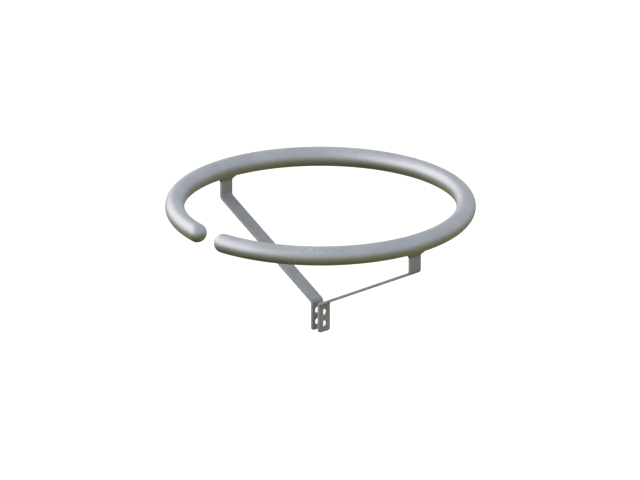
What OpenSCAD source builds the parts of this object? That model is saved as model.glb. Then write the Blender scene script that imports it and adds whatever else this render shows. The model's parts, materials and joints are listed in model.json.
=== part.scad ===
// Corona ring: an open ring of round aluminium tube, carried by two bent flat-bar straps
// whose lower ends form a pair of parallel lugs with two through-bolt holes.
// The origin is the centre of the upper bolt hole, midway between the lugs. The bolts run
// along X, the straps spread along X, the gap in the ring faces -Y and +Z is up.

/* [Ring] */
// Diameter of the ring, measured along the centre of its tube
ring_d = 600; // [400:10:900]
// Outside diameter of the tube
tube_d = 40; // [32:1:60]
// Wall thickness of the tube
tube_wall = 3; // [2:0.5:4.5]
// Clear gap between the two domed ends of the ring
ring_gap = 44; // [20:2:120]

/* [End caps] */
// Length of the spigot that locates a cap inside the tube
spigot_len = 10; // [6:1:14]
// Wall thickness of the spigot
spigot_wall = 2.5; // [1.5:0.5:4]
// Chamfer that leads the spigot into the tube
spigot_lead = 1; // [0.5:0.25:1.25]
// Clearance all round between the spigot and the bore of the tube
spigot_clear = 0.4; // [0.3:0.05:0.8]

/* [Straps] */
// Width of the flat bar
bar_w = 30; // [24:1:50]
// Thickness of the flat bar
bar_t = 5; // [3:0.5:8]
// Inside radius of the bends
bend_r = 6; // [3:0.5:12]
// Height of the centre of the tube above the upper bolt hole
ring_rise = 229; // [150:1:400]
// Drop from the centre of the tube to the corner of the upper bend, on the outer face
stub_drop = 63; // [50:1:100]

/* [Lugs] */
// Clear gap between the two lugs
lug_gap = 16; // [10:1:40]
// Length from the end of a lug to the corner of the lower bend, on the outer face
lug_len = 60; // [57:1:90]
// Diameter of the bolt holes, a clearance hole for M12
bolt_hole_d = 14; // [9:0.5:16]
// Distance between the centres of the two bolt holes
bolt_pitch = 25; // [20:1:28]
// Distance from the lower bolt hole to the end of the lug
bolt_end = 17; // [12:1:20]
// Radius of the two rounded corners at the end of a lug
lug_corner_r = 5; // [1:0.5:8]

/* [Welds] */
// Leg of the weld bead, down the strap and along the tube
weld_leg = 8; // [6:0.5:9]
// Reach of the weld bead round the tube, from the face of the strap
weld_reach = 6; // [5:0.5:7]
// Least angle at which the hollow face of the bead meets the strap and the tube
weld_toe = 20; // [15:1:23]

/* [Hidden] */
$fn = 96;

tube_color = [0.67, 0.69, 0.74];
strap_color = [0.55, 0.56, 0.58];
weld_color = [0.62, 0.63, 0.66];

ring_r = ring_d / 2;
tube_r = tube_d / 2;
bore_r = tube_r - tube_wall;
spigot_r = bore_r - spigot_clear;
spigot_bore_r = spigot_r - spigot_wall;
// Half of the angle, seen from the centre of the ring, between the centres of the two domes
gap_half_angle = asin((ring_gap + tube_d) / ring_d);

// Corners of the two bends on the outer face of a strap, as [x, z]
lug_face = lug_gap / 2 + bar_t;
low_corner = [lug_face, lug_len - bolt_pitch - bolt_end];
high_corner = [ring_r + bar_t / 2, ring_rise - stub_drop];
slope_run = high_corner - low_corner;
bend_turn = 90 - atan2(slope_run[1], slope_run[0]);
// Centres of the two bends: the lower is hollow on the outer face and the upper on the inner face
low_centre = low_corner + [bend_r, -bend_r * tan(bend_turn / 2)];
high_centre = high_corner + [-1, tan(bend_turn / 2)] * (bend_r + bar_t);
lug_end = low_corner[1] - lug_len;
// A bend is drawn with this many steps
bend_steps = 16;

// Facets of a whole turn round the ring
ring_facets = 240;

// A cut runs this far past the face that it opens
past = 1;

// The weld bead has one section beside the bar's broad faces and one round its narrow edges. Each
// goes from a foot on the bar up to a toe just inside the tube, as [distance from the bar, height
// above the centre of the tube], where the tube has curved up by lean degrees.
toe_sink = 0.3;
reach_x = bar_t / 2 + weld_reach;
face_foot = [0, -tube_r - weld_leg];
face_toe = [weld_reach, toe_sink - sqrt(tube_r * tube_r - reach_x * reach_x)];
face_lean = asin(reach_x / tube_r);
edge_foot = face_foot - [0, toe_sink];
edge_toe = [weld_leg, toe_sink - tube_r];
edge_lean = 0;
// Half of the angle of tube, seen from the centre of the ring, that a bead can touch
weld_half_angle = atan2(bar_w / 2 + 2 * weld_leg, ring_r - tube_r);

// Half of the angle that a bead's hollow face turns through on its way from foot to toe
function half_turn(foot, toe, lean) =
    let (run = toe - foot, steep = atan2(run[0], run[1]))
    min(steep, 90 - lean - steep) - weld_toe;
function hollow_radius(foot, toe, lean) =
    norm(toe - foot) / 2 / sin(half_turn(foot, toe, lean));
// Centre of the hollow face, on the open side of the line from foot to toe
function hollow_centre(foot, toe, lean) =
    let (run = toe - foot)
    (foot + toe) / 2 + [run[1], -run[0]] / 2 / tan(half_turn(foot, toe, lean));

// Turns an outline or a solid upright: what lay along Y rises along Z
module upright() {
    rotate([90, 0, 0]) children();
}

module ring_tube() {
    color(tube_color)
        translate([0, 0, ring_rise])
            rotate([0, 0, gap_half_angle - 90])
                rotate_extrude(angle = 360 - 2 * gap_half_angle, $fn = ring_facets)
                    translate([ring_r, 0]) difference() {
                        circle(tube_r);
                        circle(bore_r);
                    }
}

// Half of the section of a cap: the dome above its seat at y = 0, and the spigot below
module cap_section() {
    difference() {
        union() {
            intersection() {
                circle(tube_r);
                square(tube_r);
            }
            polygon([
                [0, -spigot_len], [spigot_r - spigot_lead, -spigot_len],
                [spigot_r, spigot_lead - spigot_len], [spigot_r, past], [0, past]
            ]);
        }
        intersection() {
            circle(bore_r);
            translate([-past, tube_wall]) square([tube_r, tube_r]);
        }
        translate([-past, -spigot_len - past])
            square([past + spigot_bore_r, spigot_len + 2 * past + tube_wall]);
    }
}

// Domed cap in the end of the tube at x > 0, its dome towards the gap
module end_cap() {
    color(tube_color)
        translate([0, 0, ring_rise])
            rotate([0, 0, gap_half_angle - 90])
                translate([ring_r, 0, 0]) upright() rotate_extrude() cap_section();
}

module end_cap_right() {
    end_cap();
}

module end_cap_left() {
    mirror([1, 0, 0]) end_cap();
}

// Points along an arc in steps of equal angle
function arc(centre, radius, from, to) = [
    for (step = [0:bend_steps])
        let (angle = from + (to - from) * step / bend_steps)
        centre + radius * [cos(angle), sin(angle)]
];

// Side view of the strap on the side of +X: up its outer face and back down its inner face
function strap_outline() = concat(
    [[lug_face, lug_end]],
    arc(low_centre, bend_r, 180, 180 - bend_turn),
    arc(high_centre, bend_r + bar_t, -bend_turn, 0),
    [[high_corner[0], ring_rise - bore_r], [high_corner[0] - bar_t, ring_rise - bore_r]],
    arc(high_centre, bend_r, 0, -bend_turn),
    arc(low_centre, bend_r + bar_t, 180 - bend_turn, 180),
    [[lug_gap / 2, lug_end]]
);

// What a lug loses at its bottom corner on the side of +Y
module corner_waste() {
    translate([lug_gap / 2 - past, bar_w / 2 - lug_corner_r, lug_end + lug_corner_r])
        rotate([0, 90, 0]) difference() {
            cube([lug_corner_r + past, lug_corner_r + past, bar_t + 2 * past]);
            translate([0, 0, -past]) cylinder(r = lug_corner_r, h = bar_t + 4 * past);
        }
}

// The strap on the side of +X: lug, lower bend, slope, upper bend and the stub under the tube
module strap() {
    color(strap_color) difference() {
        upright() linear_extrude(bar_w, center = true) polygon(strap_outline());
        corner_waste();
        mirror([0, 1, 0]) corner_waste();
        for (drop = [0, bolt_pitch])
            translate([lug_gap / 2 - past, 0, -drop])
                rotate([0, 90, 0]) cylinder(d = bolt_hole_d, h = bar_t + 2 * past);
        // The top of the stub is coped to sit on the round of the tube
        tube_at_strap();
    }
}

// The stretch of tube that a strap and its weld bead are fitted to, without its bore
module tube_at_strap() {
    translate([0, 0, ring_rise])
        rotate([0, 0, -weld_half_angle])
            rotate_extrude(angle = 2 * weld_half_angle, $fn = ring_facets)
                translate([ring_r, 0]) circle(tube_r);
}

module strap_right() {
    strap();
}

module strap_left() {
    rotate([0, 0, 180]) strap();
}

// Section of a bead beside a bar whose face is on x = 0, filled for a depth behind that face
module bead_section(foot, toe, lean, depth) {
    centre = hollow_centre(foot, toe, lean);
    difference() {
        translate([-depth, centre[1]]) square([depth + toe[0], -tube_r / 2 - centre[1]]);
        translate(centre) circle(hollow_radius(foot, toe, lean));
    }
}

// Weld bead all round the top of the stub on the side of +X. It keeps inside one section along
// the broad faces of the bar, and inside another that turns round each of its narrow edges.
module weld() {
    end_y = (bar_w - bar_t) / 2;
    color(weld_color) difference() {
        translate([ring_r, 0, ring_rise]) intersection() {
            union() {
                for (y = [-end_y, end_y])
                    translate([0, y, 0]) rotate_extrude() translate([bar_t / 2, 0])
                        bead_section(edge_foot, edge_toe, edge_lean, bar_t / 2);
                translate([-tube_r, -end_y, -2 * tube_r]) cube([tube_d, 2 * end_y, 2 * tube_r]);
            }
            for (turn = [0, 180])
                rotate([90, 0, turn]) linear_extrude(2 * bar_w, center = true)
                    translate([bar_t / 2, 0])
                        bead_section(face_foot, face_toe, face_lean, bar_t);
        }
        translate([ring_r - bar_t / 2, -bar_w / 2, high_corner[1]])
            cube([bar_t, bar_w, stub_drop]);
        tube_at_strap();
    }
}

module weld_right() {
    weld();
}

module weld_left() {
    rotate([0, 0, 180]) weld();
}

ring_tube();
end_cap_left();
end_cap_right();
strap_left();
strap_right();
weld_left();
weld_right();
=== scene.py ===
"""Finish of a corona ring: bent tube, domed end caps, folded straps and their weld beads.

The file is laid out as an add-on with a panel in the 3D view's sidebar. Run as a script, it loads
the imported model, replaces each construction solid with its finished piece and lights the stage.
"""

import json
import math

import bmesh
import bpy
from bpy.props import FloatProperty, FloatVectorProperty, IntProperty, PointerProperty
from mathutils import Matrix, Vector


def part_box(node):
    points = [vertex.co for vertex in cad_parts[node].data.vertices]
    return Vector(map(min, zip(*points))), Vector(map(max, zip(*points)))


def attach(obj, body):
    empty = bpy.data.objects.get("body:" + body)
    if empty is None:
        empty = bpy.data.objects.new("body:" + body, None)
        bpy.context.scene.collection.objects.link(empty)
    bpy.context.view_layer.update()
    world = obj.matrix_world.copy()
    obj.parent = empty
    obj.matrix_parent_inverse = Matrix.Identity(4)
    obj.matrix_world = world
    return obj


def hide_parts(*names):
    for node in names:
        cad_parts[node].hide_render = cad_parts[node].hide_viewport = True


bl_info = {
    "name": "Corona ring",
    "version": (1, 0, 0),
    "blender": (4, 5, 0),
    "location": "3D View > Sidebar > Corona ring",
    "description": "Bends, caps, folds, welds and finishes a corona ring round its packed model",
    "category": "Object",
}

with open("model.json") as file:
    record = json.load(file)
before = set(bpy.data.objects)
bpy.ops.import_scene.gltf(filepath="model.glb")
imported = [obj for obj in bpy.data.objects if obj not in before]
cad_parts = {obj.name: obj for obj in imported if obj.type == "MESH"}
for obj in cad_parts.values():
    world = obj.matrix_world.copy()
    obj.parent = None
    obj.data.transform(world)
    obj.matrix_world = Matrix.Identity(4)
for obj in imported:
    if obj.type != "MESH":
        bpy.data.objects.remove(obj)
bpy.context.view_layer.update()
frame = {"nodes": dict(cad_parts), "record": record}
BODY = "root"
SIDES = {"right": 1, "left": -1}
# The straps keep where each point lay on the flat blank: along, across and through it
FLAT_PLACE = "flat_place"

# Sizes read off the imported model, in metres
MM_IN_A_METRE = 1000
CAP_LOW, CAP_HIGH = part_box("end_cap_right")
STRAP_LOW, STRAP_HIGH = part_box("strap_right")
BOLT_HOLES = frame["record"]["mounts"]
LUG_FACE = BOLT_HOLES[0]["dims"]["length_mm"] / 2 / MM_IN_A_METRE
BAR_THICKNESS = LUG_FACE - STRAP_LOW.x
TUBE_RADIUS = (CAP_HIGH.z - CAP_LOW.z) / 2
RING_HEIGHT = (CAP_HIGH.z + CAP_LOW.z) / 2
RING_RADIUS = STRAP_HIGH.x - BAR_THICKNESS / 2
WELD_LOW, WELD_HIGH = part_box("weld_right")

# Points closer than this are one point
ONE_POINT = 1e-6
# A cut closer than this to a point goes through the point
SNAP = 1e-7

# What goes with a property that is a length, an angle, a colour or a share of one
LENGTH = {"subtype": "DISTANCE", "unit": "LENGTH"}
ANGLE = {"subtype": "ANGLE", "unit": "ROTATION"}
COLOUR = {"subtype": "COLOR", "min": 0, "max": 1}
SHARE = {"min": 0, "max": 1}


# ---------------------------------------------------------------- sizes and finishes

class TubeSizes(bpy.types.PropertyGroup):
    """Sizes of the bent tube and its end caps."""

    ring_radius: FloatProperty(
        name="Ring radius", description="From the axis of the ring to the centre of its tube",
        default=RING_RADIUS, **LENGTH)
    tube_radius: FloatProperty(
        name="Tube radius", description="Outside radius of the tube",
        default=TUBE_RADIUS, **LENGTH)
    height: FloatProperty(
        name="Height", description="Height of the tube's centre above the upper bolt hole",
        default=RING_HEIGHT, **LENGTH)
    gap: FloatProperty(
        name="Gap", description="Clear gap between the two domes",
        default=2 * CAP_LOW.x, **LENGTH)
    wall: FloatProperty(
        name="Wall", description="Wall thickness of the tube and of the domes",
        default=0.003, **LENGTH)
    spigot: FloatProperty(
        name="Spigot", description="How far a cap's spigot reaches into the tube",
        default=0.01, **LENGTH)
    spigot_wall: FloatProperty(
        name="Spigot wall", description="Wall thickness of the spigot",
        default=0.0025, **LENGTH)
    spigot_lead: FloatProperty(
        name="Spigot lead", description="Chamfer that leads the spigot into the tube",
        default=0.001, **LENGTH)
    spigot_clear: FloatProperty(
        name="Spigot clearance", description="Clearance all round the spigot in the tube",
        default=0.0004, **LENGTH)
    seam: FloatProperty(
        name="Seam", description="Rounding of the edges that meet at the seam of a cap",
        default=0.0002, **LENGTH)
    steps_along: IntProperty(
        name="Steps along", description="Facets of the tube round the ring", default=360)
    steps_round: IntProperty(
        name="Steps round", description="Facets round the tube's own section", default=72)


class StrapSizes(bpy.types.PropertyGroup):
    """Sizes of the two folded flat bars."""

    width: FloatProperty(
        name="Width", description="Width of the flat bar",
        default=STRAP_HIGH.y - STRAP_LOW.y, **LENGTH)
    thickness: FloatProperty(
        name="Thickness", description="Thickness of the flat bar",
        default=BAR_THICKNESS, **LENGTH)
    bend_radius: FloatProperty(
        name="Bend radius", description="Inside radius of the two bends",
        default=0.006, **LENGTH)
    lug_length: FloatProperty(
        name="Lug length", description="From the end of a lug to the corner of the lower bend",
        default=0.06, **LENGTH)
    stub_drop: FloatProperty(
        name="Stub drop", description="From the tube's centre to the corner of the upper bend",
        default=0.063, **LENGTH)
    lug_corner: FloatProperty(
        name="Lug corner", description="Radius of the rounded corners at the end of a lug",
        default=0.005, **LENGTH)
    edge: FloatProperty(
        name="Edge", description="Rounding of the bar's long edges",
        default=0.0006, **LENGTH)
    rim: FloatProperty(
        name="Rim", description="Rounding of the rims of the bolt holes",
        default=0.0003, **LENGTH)
    bend_steps: IntProperty(
        name="Bend steps", description="Facets in each bend", default=16)


class WeldSizes(bpy.types.PropertyGroup):
    """Ripples on the weld beads."""

    ripple_pitch: FloatProperty(
        name="Ripple pitch", description="Distance from one ripple of the bead to the next",
        default=0.0026, **LENGTH)
    ripple_height: FloatProperty(
        name="Ripple height", description="Height of a ripple",
        default=0.00025, **LENGTH)
    grain: FloatProperty(
        name="Grain", description="Size of the facets that carry the ripples",
        default=0.0004, **LENGTH)


class Finishes(bpy.types.PropertyGroup):
    """Colours and polish of the metal."""

    tube_colour: FloatVectorProperty(
        name="Tube", description="Satin aluminium of the tube and its caps",
        default=(0.385, 0.403, 0.446), **COLOUR)
    strap_colour: FloatVectorProperty(
        name="Straps", description="Duller aluminium of the flat bars",
        default=(0.38, 0.389, 0.424), **COLOUR)
    weld_colour: FloatVectorProperty(
        name="Welds", description="Aluminium of the weld beads",
        default=(0.35, 0.362, 0.39), **COLOUR)
    tube_roughness: FloatProperty(
        name="Tube roughness", description="Roughness of the tube between its draw lines",
        default=0.52, **SHARE)
    strap_roughness: FloatProperty(
        name="Strap roughness", description="Roughness of the flat bars",
        default=0.78, **SHARE)
    weld_roughness: FloatProperty(
        name="Weld roughness", description="Roughness of the weld beads",
        default=0.54, **SHARE)
    front_grip: FloatProperty(
        name="Front grip", description="Angle from the gap to where the ring was held in front",
        default=math.radians(46), **ANGLE)
    back_grip: FloatProperty(
        name="Back grip", description="Angle from the gap to where the ring was held behind",
        default=math.radians(215), **ANGLE)
    grip_reach: FloatProperty(
        name="Grip reach", description="How far the grazes reach from where the ring was held",
        default=0.105, **LENGTH)


class StageSettings(bpy.types.PropertyGroup):
    """Camera, floor and lights."""

    azimuth: FloatProperty(
        name="Azimuth", description="Way to the camera round the ring's axis, from -Y to +X",
        default=math.radians(49.7), **ANGLE)
    elevation: FloatProperty(
        name="Elevation", description="Height of the camera above the horizon",
        default=math.radians(20), **ANGLE)
    view_width: FloatProperty(
        name="View width", description="Width of what the camera sees",
        default=1.3174, **LENGTH)
    aim_drop: FloatProperty(
        name="Aim drop", description="How far below the ring's plane the camera aims",
        default=0.0742, **LENGTH)
    aim_side: FloatProperty(
        name="Aim side", description="How far to the left of the axis the camera aims",
        default=0.0009, **LENGTH)
    view_distance: FloatProperty(
        name="View distance", description="How far the camera stands from where it aims",
        default=3, **LENGTH)
    floor_drop: FloatProperty(
        name="Floor drop", description="Depth of the floor below the lugs, as the ring hangs",
        default=1.5, **LENGTH)
    floor_reach: FloatProperty(
        name="Floor reach", description="Half of the width of the floor",
        default=60, **LENGTH)
    floor_colour: FloatVectorProperty(
        name="Floor", description="Pale matt floor",
        default=(1, 1, 1), **COLOUR)
    card_drop: FloatProperty(
        name="Card drop", description="Depth of the dark card below the lugs",
        default=1.45, **LENGTH)
    card_reach: FloatProperty(
        name="Card reach", description="Half of the width of the dark card",
        default=20, **LENGTH)
    # The card's darker middle, its painted shade, lies this far to the camera's left
    card_shift: FloatProperty(
        name="Card shift", description="How far to the camera's left the middle of the card lies",
        default=1, **LENGTH)
    # Painted shade: the card is darkest right below the ring, standing in for the ground in shade
    # under it
    card_middle: FloatVectorProperty(
        name="Card middle", description="Dark olive of the card right below the ring",
        default=(0.046, 0.051, 0.006), **COLOUR)
    card_edge: FloatVectorProperty(
        name="Card edge", description="Paler olive that the card fades to, far out",
        default=(0.47, 0.45, 0.17), **COLOUR)
    sky: FloatProperty(
        name="Sky", description="Strength of the surroundings", default=1, min=0)
    sky_colour: FloatVectorProperty(
        name="Sky colour", description="Faintly blue white of the surroundings",
        default=(0.96, 0.975, 1), **COLOUR)
    lamp_azimuth: FloatProperty(
        name="Lamp azimuth", description="Way to the soft lamp, from the camera to its right",
        default=math.radians(-99), **ANGLE)
    lamp_elevation: FloatProperty(
        name="Lamp elevation", description="Height of the soft lamp above the horizon",
        default=math.radians(26), **ANGLE)
    lamp_distance: FloatProperty(
        name="Lamp distance", description="From the middle of the ring to the soft lamp",
        default=3.5, **LENGTH)
    lamp_width: FloatProperty(
        name="Lamp width", description="Width of the soft lamp",
        default=9, **LENGTH)
    lamp_height: FloatProperty(
        name="Lamp height", description="Height of the soft lamp",
        default=3.4, **LENGTH)
    lamp_brightness: FloatProperty(
        name="Lamp brightness", description="How bright the soft lamp's face is",
        default=1.34, min=0)
    lamp_colour: FloatVectorProperty(
        name="Lamp colour", description="Warm white of the soft lamp",
        default=(1, 0.92, 0.85), **COLOUR)


class CoronaRing(bpy.types.PropertyGroup):
    """Everything that the panel shows."""

    tube: PointerProperty(type=TubeSizes)
    strap: PointerProperty(type=StrapSizes)
    weld: PointerProperty(type=WeldSizes)
    finish: PointerProperty(type=Finishes)
    stage: PointerProperty(type=StageSettings)


# ---------------------------------------------------------------- node trees written as sums

class Wire:
    """An output socket of a node tree. Sums on wires add Math nodes to the tree."""

    def __init__(self, tree, socket):
        self.tree = tree
        self.socket = socket

    def math(self, operation, *others):
        return node(self.tree, "ShaderNodeMath", {"operation": operation}, self, *others)[0]

    def __add__(self, other):
        return self.math("ADD", other)

    def __sub__(self, other):
        return self.math("SUBTRACT", other)

    def __rsub__(self, other):
        return node(self.tree, "ShaderNodeMath", {"operation": "SUBTRACT"}, other, self)[0]

    def __mul__(self, other):
        return self.math("MULTIPLY", other)

    def __truediv__(self, other):
        return self.math("DIVIDE", other)

    def __rtruediv__(self, other):
        return node(self.tree, "ShaderNodeMath", {"operation": "DIVIDE"}, other, self)[0]

    def __pow__(self, other):
        return self.math("POWER", other)

    def __abs__(self):
        return self.math("ABSOLUTE")

    __radd__ = __add__
    __rmul__ = __mul__


class Outputs:
    """The outputs of a node, as wires, by number, name or identifier."""

    def __init__(self, tree, made):
        self.tree = tree
        self.made = made

    def __getitem__(self, which):
        found = [socket for number, socket in enumerate(self.made.outputs)
                 if which in (number, socket.identifier, socket.name)]
        return Wire(self.tree, found[0])


def node(tree, kind, settings=None, *values, **named):
    """Adds a node: its settings first, then its sockets in order, or by name or identifier."""
    made = tree.nodes.new(kind)
    for name, value in (settings or {}).items():
        setattr(made, name, value)
    plugs = list(zip(made.inputs, values))
    for name, value in named.items():
        plugs.append((next(socket for socket in made.inputs if name in
                           (socket.identifier, socket.name.replace(" ", "_"))), value))
    for socket, value in plugs:
        if isinstance(value, Wire):
            tree.links.new(value.socket, socket)
        elif value is not None:
            socket.default_value = value
    return Outputs(tree, made)


def blend(tree, factor, first, second):
    """A colour part of the way from the first to the second."""
    first, second = (part if isinstance(part, Wire) else (*part, 1) for part in (first, second))
    mixed = node(tree, "ShaderNodeMix", {"data_type": "RGBA"}, Factor_Float=factor,
                 A_Color=first, B_Color=second)
    return mixed["Result_Color"]


def step_up(tree, value, low, high):
    """0 below low, 1 above high, and smooth between."""
    return node(tree, "ShaderNodeMapRange", {"interpolation_type": "SMOOTHSTEP"},
                value, low, high, 0.0, 1.0)[0]


def speckle(tree, where, scale, detail=2, roughness=0.5, across=None):
    """Noise about 0.5, at so many cells to the metre. With across it has a fourth dimension."""
    sockets = {"Vector": where, "Scale": scale, "Detail": detail, "Roughness": roughness}
    if across is None:
        return node(tree, "ShaderNodeTexNoise", None, **sockets)[0]
    return node(tree, "ShaderNodeTexNoise", {"noise_dimensions": "4D"}, W=across, **sockets)[0]


def vector(tree, x, y, z):
    return node(tree, "ShaderNodeCombineXYZ", None, x, y, z)[0]


def parts_of(tree, where):
    """The three parts of a vector."""
    parts = node(tree, "ShaderNodeSeparateXYZ", None, where)
    return parts[0], parts[1], parts[2]


def shade_of(colour, times):
    """A colour made so many times as bright."""
    return [min(1, part * times) for part in colour]


def clouded(tree, noise, low, high, colour, dull, pale):
    """A colour in clouds: dull times as bright where the noise is low, pale times where high."""
    return blend(tree, step_up(tree, noise, low, high), shade_of(colour, dull),
                 shade_of(colour, pale))


# ---------------------------------------------------------------- metal finishes

# Patterns of the finishes, in cells to the metre
TUBE_LINES, TUBE_FILM, TUBE_GRAIN, TUBE_DINGS, TUBE_GRAZES = 130, 17, 900, 160, 160
BAR_LINES, BAR_FILM, BAR_GRAIN = 1500, 26, 1100
BEAD_FILM, BEAD_GRAIN = 140, 1500
# How far the lines that a tool left are drawn together, across the metal and along it
DRAWN_ACROSS, DRAWN_ALONG, ROLLED_ALONG = 9, 0.25, 0.03
# How much the film, the lines and the wear move a metal's roughness
FILM_DULLS, DRAWN_DULL, ROLLED_DULL, WEAR_POLISHES, BEAD_FILM_DULLS = 0.12, 0.10, 0.14, 0.08, 0.2
# Relief of the grain and lines: its depth in metres, and how strongly it shows
RELIEF, METAL_SHOWS, BEAD_SHOWS = 0.001, 0.10, 0.08


class Metal:
    """A metal being made: its tree, where a point of it lies, and its shader."""

    def __init__(self, name):
        self.material = bpy.data.materials.new(name)
        self.material.use_nodes = True
        self.tree = self.material.node_tree
        self.tree.nodes.clear()
        self.place = node(self.tree, "ShaderNodeTexCoord")["Object"]

    def finish(self, colour, roughness, height, strength):
        """Wires the shader: what varies over the metal is its colour, roughness and grain."""
        grain = node(self.tree, "ShaderNodeBump", None, Height=height, Strength=strength,
                     Distance=RELIEF)[0]
        shader = node(self.tree, "ShaderNodeBsdfPrincipled", None, Base_Color=colour,
                      Roughness=roughness, Metallic=1.0, Normal=grain)[0]
        node(self.tree, "ShaderNodeOutputMaterial", None, shader)
        return self.material


def drawn_tube_metal(settings):
    """Satin aluminium tube: draw lines along it, a cloudy oxide film, grain and short grazes."""
    metal, tube, finish = Metal("satin_tube"), settings.tube, settings.finish
    tree = metal.tree
    x, y, z = parts_of(tree, metal.place)
    from_axis = (x * x + y * y) ** 0.5
    # Across the tube's section the lines are fine; along the ring they change slowly
    section = vector(tree, (from_axis - tube.ring_radius) * DRAWN_ACROSS,
                     (z - tube.height) * DRAWN_ACROSS, x * DRAWN_ALONG)
    lines = speckle(tree, section, TUBE_LINES, detail=3, across=y * DRAWN_ALONG)
    film = speckle(tree, metal.place, TUBE_FILM, detail=4, roughness=0.6)
    grain = speckle(tree, metal.place, TUBE_GRAIN)
    dings = speckle(tree, metal.place, TUBE_DINGS)
    # Short grazes lie across the draw lines where the ring was held
    way_round = x.math("ARCTAN2", 0 - y) * (tube.ring_radius * 2)
    grazes = speckle(tree, vector(tree, way_round, z, from_axis), TUBE_GRAZES, detail=4,
                     roughness=0.6)
    gripped = 0
    for grip in (finish.front_grip, finish.back_grip):
        off = vector(tree, x - math.sin(grip) * tube.ring_radius,
                     y + math.cos(grip) * tube.ring_radius, 0.0)
        far = node(tree, "ShaderNodeVectorMath", {"operation": "LENGTH"}, off)["Value"]
        gripped = gripped + (1 - step_up(tree, far, 0.0, finish.grip_reach))
    worn = step_up(tree, grazes, 0.55, 0.67) * gripped
    plain = tuple(finish.tube_colour)
    clean = clouded(tree, film, 0.32, 0.68, plain, dull=0.94, pale=1.05)
    colour = blend(tree, worn * 0.7, clean, shade_of(plain, 1.6))
    roughness = finish.tube_roughness + (film - 0.5) * FILM_DULLS + (lines - 0.5) * DRAWN_DULL \
        - worn * WEAR_POLISHES
    height = lines * 0.5 + grain * 0.25 + dings * 0.35 + worn * 0.4
    return metal.finish(colour, roughness, height, METAL_SHOWS)


def mill_bar_metal(settings):
    """Mill-finish flat bar: rolling lines along it, paler worn edges and a dull film."""
    metal, strap, finish = Metal("mill_finish_bar"), settings.strap, settings.finish
    tree = metal.tree
    blank = node(tree, "ShaderNodeAttribute", {"attribute_name": FLAT_PLACE})["Vector"]
    along, across, through = parts_of(tree, blank)
    lines = speckle(tree, vector(tree, along * ROLLED_ALONG, across, through), BAR_LINES,
                    detail=3)
    film = speckle(tree, metal.place, BAR_FILM, detail=4, roughness=0.6)
    grain = speckle(tree, metal.place, BAR_GRAIN)
    # The long edges are rubbed paler along a line as wide as their rounding
    from_side = strap.width / 2 - abs(across)
    from_face = strap.thickness / 2 - abs(through)
    from_edge = (from_side * from_side + from_face * from_face) ** 0.5
    rubbed = (1 - step_up(tree, from_edge, strap.edge * 0.5, strap.edge * 1.3)) \
        * step_up(tree, film, 0.3, 0.5)
    plain = tuple(finish.strap_colour)
    clean = clouded(tree, film, 0.3, 0.7, plain, dull=0.9, pale=1.08)
    lined = blend(tree, step_up(tree, lines, 0.5, 0.8) * 0.5, clean, shade_of(plain, 1.2))
    colour = blend(tree, rubbed * 0.4, lined, shade_of(plain, 1.5))
    roughness = finish.strap_roughness + (film - 0.5) * FILM_DULLS + (lines - 0.5) * ROLLED_DULL \
        - rubbed * WEAR_POLISHES
    return metal.finish(colour, roughness, lines * 0.7 + grain * 0.3, METAL_SHOWS)


def weld_metal(settings):
    """Weld bead: a matt film in small clouds, and grain."""
    metal, finish = Metal("weld_bead"), settings.finish
    tree = metal.tree
    film = speckle(tree, metal.place, BEAD_FILM, detail=3, roughness=0.6)
    grain = speckle(tree, metal.place, BEAD_GRAIN)
    colour = clouded(tree, film, 0.3, 0.7, tuple(finish.weld_colour), dull=0.86, pale=1.12)
    roughness = finish.weld_roughness + (film - 0.5) * BEAD_FILM_DULLS
    return metal.finish(colour, roughness, grain, BEAD_SHOWS)


def material_of(name, make, settings):
    """The named material, made the first time that it is asked for."""
    return bpy.data.materials.get(name) or make(settings)


# ---------------------------------------------------------------- meshes

def to_piece(source, name, slot, material, *nodes):
    """Turns a worked object into a plain finished piece that stands for the given CAD nodes."""
    bpy.context.view_layer.update()
    evaluated = source.evaluated_get(bpy.context.evaluated_depsgraph_get())
    mesh = bpy.data.meshes.new_from_object(evaluated)
    bpy.data.objects.remove(source)
    piece = bpy.data.objects.new(name, mesh)
    bpy.context.scene.collection.objects.link(piece)
    mesh.name = name
    mesh.materials.clear()
    mesh.materials.append(material)
    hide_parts(*nodes)
    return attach(piece, BODY)


def working_object(name, data):
    """An object in the scene, for working on or for the stage."""
    made = bpy.data.objects.new(name, data)
    bpy.context.scene.collection.objects.link(made)
    return made


def as_mesh(name, shape):
    """Writes a bmesh out as a mesh and lets it go."""
    mesh = bpy.data.meshes.new(name)
    shape.to_mesh(mesh)
    shape.free()
    return mesh


def gap_half_angle(tube):
    """Half of the angle, seen from the ring's axis, between the centres of the two domes."""
    return math.asin((tube.gap + 2 * tube.tube_radius) / (2 * tube.ring_radius))


def arc(centre, radius, start, end, steps):
    """Points along an arc, ends included."""
    turns = [start + (end - start) * step / steps for step in range(steps + 1)]
    return [(centre[0] + radius * math.cos(a), centre[1] + radius * math.sin(a)) for a in turns]


# ---------------------------------------------------------------- bent tube

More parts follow.
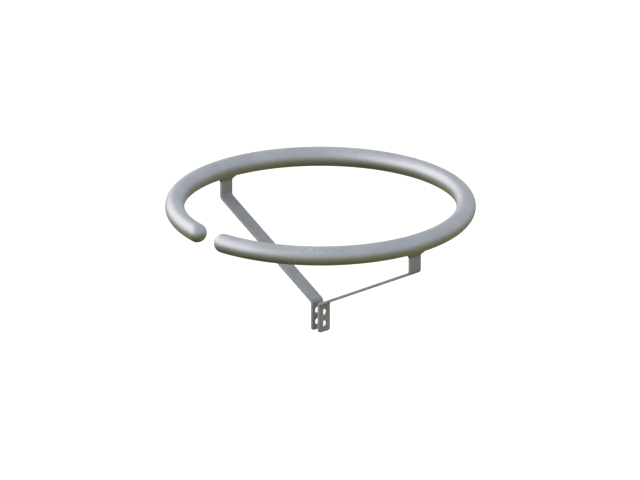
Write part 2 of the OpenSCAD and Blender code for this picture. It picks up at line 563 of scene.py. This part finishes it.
def tube_tree(material):
    """Sweeps the tube's section round the open ring."""
    tree = bpy.data.node_groups.new("Bent tube", "GeometryNodeTree")
    tree.is_modifier = True
    face = tree.interface
    for name in ("Ring radius", "Tube radius", "Height", "Gap half angle"):
        face.new_socket(name, in_out="INPUT", socket_type="NodeSocketFloat")
    for name in ("Steps along", "Steps round"):
        face.new_socket(name, in_out="INPUT", socket_type="NodeSocketInt")
    face.new_socket("Tube", in_out="OUTPUT", socket_type="NodeSocketGeometry")
    given = node(tree, "NodeGroupInput")
    half = given["Gap half angle"]
    centre_line = node(tree, "GeometryNodeCurveArc", {"mode": "RADIUS"},
                       Resolution=given["Steps along"], Radius=given["Ring radius"],
                       Start_Angle=half - math.pi / 2, Sweep_Angle=2 * math.pi - half * 2)[0]
    section = node(tree, "GeometryNodeCurvePrimitiveCircle", {"mode": "RADIUS"},
                   Resolution=given["Steps round"], Radius=given["Tube radius"])[0]
    skin = node(tree, "GeometryNodeCurveToMesh", None, Curve=centre_line,
                Profile_Curve=section)[0]
    raised = node(tree, "GeometryNodeTransform", None, Geometry=skin,
                  Translation=vector(tree, 0.0, 0.0, given["Height"]))[0]
    real = node(tree, "GeometryNodeRealizeInstances", None, raised)[0]
    finished = node(tree, "GeometryNodeSetMaterial", None, Geometry=real, Material=material)[0]
    node(tree, "NodeGroupOutput", None, finished)
    return tree


def set_inputs(modifier, **values):
    """Sets a tree's inputs by name, through their identifiers."""
    for item in modifier.node_group.interface.items_tree:
        key = item.name.replace(" ", "_").lower()
        if item.in_out == "INPUT" and key in values:
            modifier[item.identifier] = values[key]


def round_off(target, width):
    """Rounds the sharp edges of an object."""
    bevel = target.modifiers.new("Round off", "BEVEL")
    bevel.width = width
    bevel.segments = 3
    bevel.limit_method = "ANGLE"
    bevel.angle_limit = math.radians(60)
    bevel.harden_normals = True


class CORONA_OT_bend_tube(bpy.types.Operator):
    """Bend the tube round the ring and leave its gap open"""

    bl_idname = "corona.bend_tube"
    bl_label = "Bend tube"

    def execute(self, context):
        settings = context.scene.corona_ring
        tube = settings.tube
        material = material_of("satin_tube", drawn_tube_metal, settings)
        work = working_object("tube_work", bpy.data.meshes.new("tube_work"))
        sweep = work.modifiers.new("Sweep", "NODES")
        sweep.node_group = tube_tree(material)
        set_inputs(sweep, ring_radius=tube.ring_radius, tube_radius=tube.tube_radius,
                   height=tube.height, gap_half_angle=gap_half_angle(tube),
                   steps_along=tube.steps_along, steps_round=tube.steps_round)
        wall = work.modifiers.new("Wall", "SOLIDIFY")
        wall.thickness = tube.wall
        wall.offset = -1
        round_off(work, tube.seam)
        piece = to_piece(work, "bent_tube", "tube", material, "ring_tube")
        piece.data.shade_smooth()
        return {"FINISHED"}


# ---------------------------------------------------------------- end caps

def cap_section(tube):
    """Closed half section of a cap as [distance from its axis, height above its seat]."""
    bore = tube.tube_radius - tube.wall
    spigot = bore - tube.spigot_clear
    socket = spigot - tube.spigot_wall
    lead = tube.spigot_lead
    quarter = tube.steps_round // 4
    dome = arc((0, 0), tube.tube_radius, 0, math.pi / 2, 2 * quarter)
    ceiling_angle = math.asin(tube.wall / bore)
    ceiling = arc((0, 0), bore, math.pi / 2, ceiling_angle, quarter)
    web = [(socket, tube.wall), (socket, -tube.spigot), (spigot - lead, -tube.spigot),
           (spigot, lead - tube.spigot), (spigot, 0)]
    return dome + ceiling + web


def turned(name, section, steps):
    """A solid turned from a closed half section that may touch its axis."""
    shape = bmesh.new()
    rings = []
    for far, height in section:
        if far < ONE_POINT:
            rings.append([shape.verts.new((0, 0, height))] * steps)
        else:
            ring = arc((0, 0), far, 0, 2 * math.pi, steps)[:-1]
            rings.append([shape.verts.new((x, y, height)) for x, y in ring])
    for low, high in zip(rings, rings[1:] + rings[:1]):
        for here in range(steps):
            corners = dict.fromkeys((low[here - 1], low[here], high[here], high[here - 1]))
            if len(corners) > 2:
                shape.faces.new(tuple(corners))
    bmesh.ops.recalc_face_normals(shape, faces=shape.faces)
    return as_mesh(name, shape)


class CORONA_OT_seat_caps(bpy.types.Operator):
    """Turn the two domed caps and seat them in the ends of the tube"""

    bl_idname = "corona.seat_caps"
    bl_label = "Seat end caps"

    def execute(self, context):
        settings = context.scene.corona_ring
        tube = settings.tube
        material = material_of("satin_tube", drawn_tube_metal, settings)
        for side, way in SIDES.items():
            mesh = turned("cap_work", cap_section(tube), tube.steps_round)
            # The seat faces along the tube, and the dome points into the gap
            place = Matrix.Translation((0, 0, tube.height)) \
                @ Matrix.Rotation(way * gap_half_angle(tube) - math.pi / 2, 4, "Z") \
                @ Matrix.Translation((tube.ring_radius, 0, 0)) \
                @ Matrix.Rotation(way * math.pi / 2, 4, "X")
            mesh.transform(place)
            work = working_object("cap_work", mesh)
            round_off(work, tube.seam)
            piece = to_piece(work, f"domed_cap_{side}", "tube", material, f"end_cap_{side}")
            piece.data.shade_smooth()
        return {"FINISHED"}


# ---------------------------------------------------------------- folded straps

# Facets in a rounded edge, in a corner of a lug and round a bolt hole
EDGE_STEPS, CORNER_STEPS, HOLE_STEPS = 4, 8, 64


def fold_line(settings):
    """Middle line of the right-hand strap, from the lug's end up to the tube.

    Each stretch is [length, turn towards the ring's axis], and the line starts upwards."""
    strap, tube = settings.strap, settings.tube
    low_corner = Vector((LUG_FACE, STRAP_LOW.z + strap.lug_length))
    high_corner = Vector((tube.ring_radius + strap.thickness / 2, tube.height - strap.stub_drop))
    slope = high_corner - low_corner
    turn = math.atan2(slope.x, slope.y)
    inside = strap.bend_radius * math.tan(turn / 2)
    outside = (strap.bend_radius + strap.thickness) * math.tan(turn / 2)
    bend = (strap.bend_radius + strap.thickness / 2) * turn
    # The stub runs on into the wall of the tube
    stub_top = tube.height - tube.tube_radius + tube.wall / 2
    return [
        (strap.lug_length - inside, 0),
        (bend, -turn),
        (slope.length - inside - outside, 0),
        (bend, turn),
        (stub_top - high_corner.y - outside, 0),
    ]


def folded(stretches, along, out):
    """Where a point so far along the flat blank and so far out from its middle goes, as [x, z]."""
    here = Vector((LUG_FACE - BAR_THICKNESS / 2, STRAP_LOW.z))
    heading = math.pi / 2
    for number, (length, turn) in enumerate(stretches):
        last = number == len(stretches) - 1
        done = along if last else min(along, length)
        if turn == 0:
            here = here + Vector((math.cos(heading), math.sin(heading))) * done
        else:
            radius = length / turn
            side = Vector((-math.sin(heading), math.cos(heading)))
            centre = here + side * radius
            heading += turn * done / length
            here = centre - Vector((-math.sin(heading), math.cos(heading))) * radius
        along -= length
        if along <= 0 or last:
            break
    return here + Vector((math.sin(heading), -math.cos(heading))) * out


def rounded_through(thickness, rounding):
    """Profile of a wall through a plate, rounded at both faces, as [set back, height]."""
    turns = [math.pi / 2 * step / EDGE_STEPS for step in range(EDGE_STEPS + 1)]
    lower = [(rounding * (1 - math.sin(a)), rounding * (1 - math.cos(a)) - thickness / 2)
             for a in turns]
    return lower + [(back, -height) for back, height in reversed(lower)]


def wall_of(shape, loops):
    """Skins a wall through closed loops of points. Returns its first and last rows of edges."""
    rows = [[shape.verts.new(point) for point in loop] for loop in loops]
    for low, high in zip(rows, rows[1:]):
        for here in range(len(low)):
            shape.faces.new((low[here - 1], low[here], high[here], high[here - 1]))
    return [[shape.edges.get((row[here - 1], row[here])) for here in range(len(row))]
            for row in (rows[0], rows[-1])]


def cut_blank(settings, length):
    """Flat blank of a strap: its outline and bolt holes, with their edges rounded off."""
    strap = settings.strap
    half, corner = strap.width / 2, strap.lug_corner
    shape = bmesh.new()
    outline = []
    for back, height in rounded_through(strap.thickness, strap.edge):
        turn = corner - back
        loop = arc((corner, half - corner), turn, math.pi / 2, math.pi, CORNER_STEPS) \
            + arc((corner, corner - half), turn, math.pi, 3 * math.pi / 2, CORNER_STEPS) \
            + [(length, back - half), (length, half - back)]
        outline.append([(x, y, height) for x, y in loop])
    faces = wall_of(shape, outline)
    for hole in BOLT_HOLES:
        centre = (hole["pos_m"][2] - STRAP_LOW.z, 0)
        radius = hole["dims"]["r_mm"] / MM_IN_A_METRE
        rim = []
        for back, height in rounded_through(strap.thickness, strap.rim):
            loop = arc(centre, radius + back, 2 * math.pi, 0, HOLE_STEPS)[:-1]
            rim.append([(x, y, height) for x, y in loop])
        for face, row in zip(faces, wall_of(shape, rim)):
            face += row
    for face in faces:
        bmesh.ops.triangle_fill(shape, edges=face, use_beauty=True)
    return shape


def fold(settings, stretches, way):
    """Folds a flat blank at its two bends, and keeps where each of its points lay."""
    shape = cut_blank(settings, sum(length for length, turn in stretches))
    start = 0
    for length, turn in stretches:
        steps = settings.strap.bend_steps if turn else 1
        for step in range(steps + 1):
            bmesh.ops.bisect_plane(
                shape, geom=shape.verts[:] + shape.edges[:] + shape.faces[:],
                plane_co=(start + length * step / steps, 0, 0), plane_no=(1, 0, 0), dist=SNAP)
        start += length
    flat_place = shape.verts.layers.float_vector.new(FLAT_PLACE)
    for vert in shape.verts:
        along, across, out = vert.co
        vert[flat_place] = vert.co
        x, z = folded(stretches, along, out)
        vert.co = (way * x, way * across, z)
    bmesh.ops.recalc_face_normals(shape, faces=shape.faces)
    mesh = as_mesh("folded", shape)
    mesh.shade_smooth()
    return mesh


class CORONA_OT_fold_straps(bpy.types.Operator):
    """Cut the two flat blanks, punch their bolt holes and fold them into straps"""

    bl_idname = "corona.fold_straps"
    bl_label = "Fold straps"

    def execute(self, context):
        settings = context.scene.corona_ring
        material = material_of("mill_finish_bar", mill_bar_metal, settings)
        stretches = fold_line(settings)
        for side, way in SIDES.items():
            work = working_object("strap_work", fold(settings, stretches, way))
            shading = work.modifiers.new("Shading", "WEIGHTED_NORMAL")
            shading.weight = 100
            to_piece(work, f"folded_strap_{side}", "strap", material, f"strap_{side}")
        return {"FINISHED"}


# ---------------------------------------------------------------- weld beads

def ripple_tree(material):
    """Raises ripples on a bead that runs round the end of a flat bar."""
    tree = bpy.data.node_groups.new("Weld ripples", "GeometryNodeTree")
    tree.is_modifier = True
    face = tree.interface
    face.new_socket("Bead", in_out="INPUT", socket_type="NodeSocketGeometry")
    for name in ("Bar centre", "Half straight", "Turn radius", "Pitch", "Ripple height",
                 "Bead middle", "Bead depth"):
        face.new_socket(name, in_out="INPUT", socket_type="NodeSocketFloat")
    face.new_socket("Rippled bead", in_out="OUTPUT", socket_type="NodeSocketGeometry")
    given = node(tree, "NodeGroupInput")
    x, y, z = parts_of(tree, node(tree, "GeometryNodeInputPosition")[0])
    x = x - given["Bar centre"]
    half = given["Half straight"]
    # Distance round the bar: straight beside its broad faces, then an arc round each narrow edge
    straight = node(tree, "ShaderNodeClamp", None, y, 0 - half, half)[0]
    turn = (y - straight).math("ARCTAN2", abs(x))
    lag = ((z - given["Bead middle"]) / given["Bead depth"]) ** 2
    round_bar = straight + turn * given["Turn radius"] + lag * given["Pitch"]
    ripple = abs((round_bar * math.pi / given["Pitch"]).math("SINE"))
    outwards = node(tree, "GeometryNodeInputNormal")[0]
    lift = node(tree, "ShaderNodeVectorMath", {"operation": "SCALE"}, Vector=outwards,
                Scale=ripple * given["Ripple height"])[0]
    raised = node(tree, "GeometryNodeSetPosition", None, Geometry=given["Bead"], Offset=lift)[0]
    real = node(tree, "GeometryNodeRealizeInstances", None, raised)[0]
    finished = node(tree, "GeometryNodeSetMaterial", None, Geometry=real, Material=material)[0]
    node(tree, "NodeGroupOutput", None, finished)
    return tree


class CORONA_OT_lay_welds(bpy.types.Operator):
    """Lay a rippled bead round the top of each strap, where it meets the tube"""

    bl_idname = "corona.lay_welds"
    bl_label = "Lay welds"

    def execute(self, context):
        settings = context.scene.corona_ring
        weld, strap, tube = settings.weld, settings.strap, settings.tube
        material = material_of("weld_bead", weld_metal, settings)
        tree = ripple_tree(material)
        for side, way in SIDES.items():
            bead = bmesh.new()
            bead.from_mesh(frame["nodes"][f"weld_{side}"].data)
            bmesh.ops.remove_doubles(bead, verts=bead.verts, dist=ONE_POINT)
            work = working_object("bead_work", as_mesh("bead_work", bead))
            facets = work.modifiers.new("Facets", "REMESH")
            facets.mode = "VOXEL"
            facets.voxel_size = weld.grain
            facets.use_smooth_shade = True
            ripples = work.modifiers.new("Ripples", "NODES")
            ripples.node_group = tree
            # Round a narrow edge the way is measured halfway from the bar to the bead's toe
            set_inputs(
                ripples, bar_centre=way * tube.ring_radius,
                half_straight=(strap.width - strap.thickness) / 2,
                turn_radius=(WELD_HIGH.x - WELD_LOW.x) / 4 + strap.thickness / 4,
                pitch=weld.ripple_pitch, ripple_height=weld.ripple_height,
                bead_middle=(WELD_LOW.z + WELD_HIGH.z) / 2,
                bead_depth=WELD_HIGH.z - WELD_LOW.z)
            to_piece(work, f"weld_bead_{side}", "weld", material, f"weld_{side}")
        return {"FINISHED"}


# ---------------------------------------------------------------- stage

# Four watts to the square metre make a lamp's face as bright as a white that is written as one
WATTS_FOR_WHITE = 4


def towards(azimuth, elevation):
    """Unit vector so far round the ring's axis, from -Y to +X, and so far up from the horizon."""
    return Vector((math.sin(azimuth) * math.cos(elevation),
                   -math.cos(azimuth) * math.cos(elevation), math.sin(elevation)))


def plain_surface(name, colour):
    """A matt surface for the stage."""
    made = bpy.data.materials.new(name)
    made.use_nodes = True
    shader = made.node_tree.nodes["Principled BSDF"]
    shader.inputs["Base Color"].default_value = (*colour, 1)
    shader.inputs["Roughness"].default_value = 1
    shader.inputs["Specular IOR Level"].default_value = 0
    return made


def paint_shade_below(material, middle, edge, above):
    """Paints shade on a level surface under a point so high above it: its colour fades from the
    dark middle out, as seen from that point.
    """
    tree = material.node_tree
    x, y, _ = parts_of(tree, node(tree, "ShaderNodeTexCoord")["Object"])
    far = (x * x + y * y + above * above) ** 0.5
    colour = blend(tree, 1 - above / far, middle, edge)
    tree.links.new(colour.socket, tree.nodes["Principled BSDF"].inputs["Base Color"])


def sheet_of(name, half_width, height, material):
    """A level square sheet of the stage."""
    mesh = bpy.data.meshes.new(name)
    mesh.from_pydata([(x * half_width, y * half_width, height) for x, y in
                      ((-1, -1), (1, -1), (1, 1), (-1, 1))], [], [(0, 1, 2, 3)])
    mesh.materials.append(material)
    made = working_object(name, mesh)
    return made


def soft_lamp(stage, middle):
    """An oblong lamp that faces the middle of the ring."""
    lamp = bpy.data.lights.new("soft_lamp", "AREA")
    lamp.shape = "RECTANGLE"
    lamp.size, lamp.size_y = stage.lamp_width, stage.lamp_height
    lamp.color = stage.lamp_colour
    lamp.energy = WATTS_FOR_WHITE * stage.lamp_brightness * lamp.size * lamp.size_y
    made = working_object("soft_lamp", lamp)
    way = towards(stage.azimuth + stage.lamp_azimuth, stage.lamp_elevation)
    made.location = middle + way * stage.lamp_distance
    made.rotation_euler = way.to_track_quat("Z", "Y").to_euler()
    made.visible_camera = False


class CORONA_OT_set_stage(bpy.types.Operator):
    """Set the pale floor, the soft lights and the camera"""

    bl_idname = "corona.set_stage"
    bl_label = "Set stage"

    def execute(self, context):
        settings = context.scene.corona_ring
        stage, tube = settings.stage, settings.tube
        scene = context.scene
        middle = Vector((0, 0, tube.height))
        right = Vector((math.cos(stage.azimuth), math.sin(stage.azimuth), 0))

        world = bpy.data.worlds.new("pale_surroundings")
        world.use_nodes = True
        sky = world.node_tree.nodes["Background"]
        sky.inputs["Color"].default_value = (*stage.sky_colour, 1)
        sky.inputs["Strength"].default_value = stage.sky
        scene.world = world

        sheet_of("floor", stage.floor_reach, STRAP_LOW.z - stage.floor_drop,
                 plain_surface("pale_floor", stage.floor_colour))
        # A dark card under the ring gives the metal something to mirror from below; its darker
        # middle is painted shade of the ground under the ring
        card_height = STRAP_LOW.z - stage.card_drop
        olive = plain_surface("dark_card", stage.card_middle)
        paint_shade_below(olive, stage.card_middle, stage.card_edge, tube.height - card_height)
        card = sheet_of("dark_card", stage.card_reach, card_height, olive)
        card.location = right * -stage.card_shift
        card.visible_camera = False
        card.visible_diffuse = False
        card.visible_shadow = False
        soft_lamp(stage, middle)

        lens = bpy.data.cameras.new("camera")
        lens.type = "ORTHO"
        lens.ortho_scale = stage.view_width
        camera = working_object("camera", lens)
        back = towards(stage.azimuth, stage.elevation)
        aim = middle - Vector((0, 0, stage.aim_drop)) - right * stage.aim_side
        camera.location = aim + back * stage.view_distance
        camera.rotation_euler = back.to_track_quat("Z", "Y").to_euler()
        lens.clip_end = 2 * stage.floor_reach
        scene.camera = camera
        scene.view_settings.view_transform = "Standard"
        return {"FINISHED"}


# ---------------------------------------------------------------- panel and registration

class CORONA_PT_ring(bpy.types.Panel):
    """Sizes, finishes and steps of the corona ring"""

    bl_idname = "CORONA_PT_ring"
    bl_label = "Corona ring"
    bl_space_type = "VIEW_3D"
    bl_region_type = "UI"
    bl_category = "Corona ring"

    def draw(self, context):
        settings = context.scene.corona_ring
        for step, group in STEPS:
            box = self.layout.box()
            box.operator(step.bl_idname)
            for name in group:
                values = getattr(settings, name)
                for prop in values.bl_rna.properties:
                    if prop.identifier not in ("rna_type", "name"):
                        box.prop(values, prop.identifier)


STEPS = (
    (CORONA_OT_bend_tube, ("tube", "finish")),
    (CORONA_OT_seat_caps, ()),
    (CORONA_OT_fold_straps, ("strap",)),
    (CORONA_OT_lay_welds, ("weld",)),
    (CORONA_OT_set_stage, ("stage",)),
)
CLASSES = (
    TubeSizes, StrapSizes, WeldSizes, Finishes, StageSettings, CoronaRing,
    *(step for step, group in STEPS), CORONA_PT_ring,
)


def register():
    for made in CLASSES:
        bpy.utils.register_class(made)
    bpy.types.Scene.corona_ring = PointerProperty(type=CoronaRing)


def unregister():
    del bpy.types.Scene.corona_ring
    for made in reversed(CLASSES):
        bpy.utils.unregister_class(made)


def main():
    register()
    bpy.ops.corona.bend_tube()
    bpy.ops.corona.seat_caps()
    bpy.ops.corona.fold_straps()
    bpy.ops.corona.lay_welds()
    bpy.ops.corona.set_stage()


if __name__ == "__main__":
    main()
